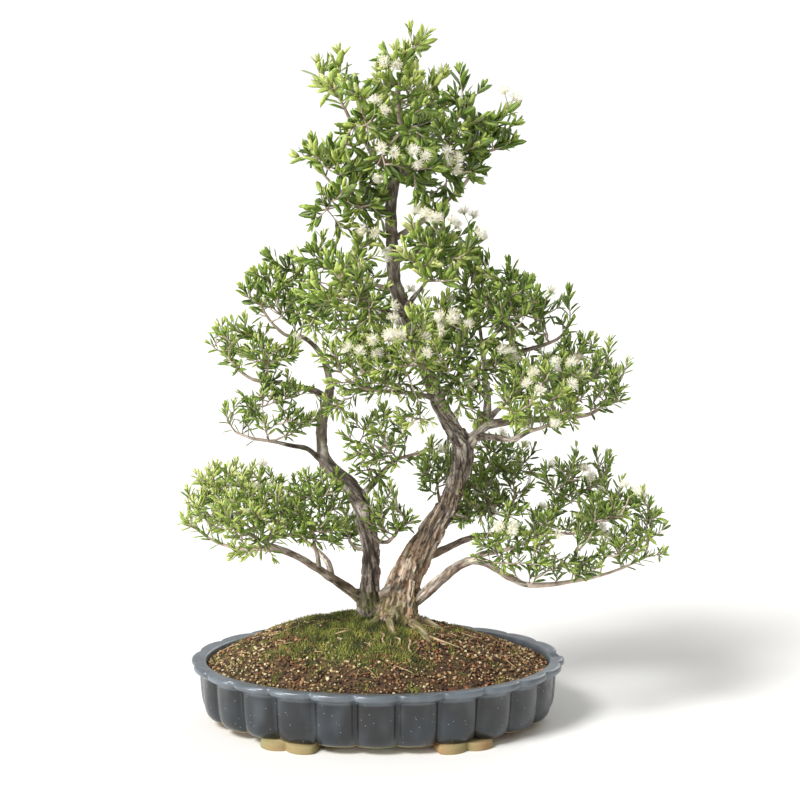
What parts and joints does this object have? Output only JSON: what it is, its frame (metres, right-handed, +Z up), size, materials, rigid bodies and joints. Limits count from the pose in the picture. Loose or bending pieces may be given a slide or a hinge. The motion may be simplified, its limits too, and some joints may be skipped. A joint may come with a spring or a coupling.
{
  "type": "potted bonsai tree",
  "caption": "Twin-trunk flowering bonsai with small leaves and white fluffy flowers, mounded soil and a scalloped oval glazed pot on low feet.",
  "frame": {"origin": "middle of the whole plant's footprint (its bounding box), at the level the pot's feet stand on", "axes": "+Z up, -Y towards the front of the pot and tree, +X to the right as seen from the front"},
  "size_m": [0.5528, 0.3412, 0.7918],
  "materials": {
    "glaze": "satin glaze, unglazed feet",
    "soil": "loose granular",
    "screen": "matte",
    "bark": "rough bark",
    "leaf": "soft satin leaf on woody twigs",
    "flower": "matte petals and stamens"
  },
  "bodies": {
    "root": {"pot": "glaze", "soil": "soil", "drain_screen_left": "screen", "drain_screen_right": "screen", "tree_wood": "bark", "bloom_crown_top_1": "flower", "bloom_crown_left_inner_2": "flower", "bloom_crown_front_3": "flower", "bloom_crown_front_4": "flower", "bloom_crown_right_inner_5": "flower", "bloom_crown_right_outer_6": "flower", "bloom_crown_left_7": "flower", "bloom_upper_right_front_8": "flower", "bloom_upper_right_back_9": "flower", "bloom_centre_front_10": "flower", "bloom_centre_right_11": "flower", "bloom_centre_left_12": "flower", "bloom_right_pad_outer_13": "flower", "bloom_right_pad_front_14": "flower", "bloom_low_right_outer_15": "flower", "bloom_low_right_front_16": "flower", "bloom_low_right_middle_17": "flower", "spray_low_left_outer": "leaf", "spray_low_left_back": "leaf", "spray_low_left_front": "leaf", "spray_low_left_inner": "leaf", "spray_mid_left_low": "leaf", "spray_mid_left": "leaf", "spray_upper_left_outer": "leaf", "spray_upper_left_back": "leaf", "spray_upper_left_front": "leaf", "spray_centre_left": "leaf", "spray_centre_front": "leaf", "spray_centre_right": "leaf", "spray_centre_back": "leaf", "spray_inner_middle": "leaf", "spray_inner_low": "leaf", "spray_behind_left": "leaf", "spray_back_right_low": "leaf", "spray_back_left_low": "leaf", "spray_right_pad_outer": "leaf", "spray_right_pad_front": "leaf", "spray_right_pad_back": "leaf", "spray_right_upper_inner": "leaf", "spray_right_upper_outer": "leaf", "spray_right_upper_front": "leaf", "spray_upper_right_front": "leaf", "spray_upper_right_back": "leaf", "spray_low_right_outer": "leaf", "spray_low_right_front": "leaf", "spray_low_right_middle": "leaf", "spray_low_right_upper": "leaf", "spray_crown_top": "leaf", "spray_crown_left_tip": "leaf", "spray_crown_left_inner": "leaf", "spray_crown_left": "leaf", "spray_crown_right_inner": "leaf", "spray_crown_right_outer": "leaf", "spray_crown_front": "leaf", "spray_crown_back": "leaf"}
  },
  "joints": []
}
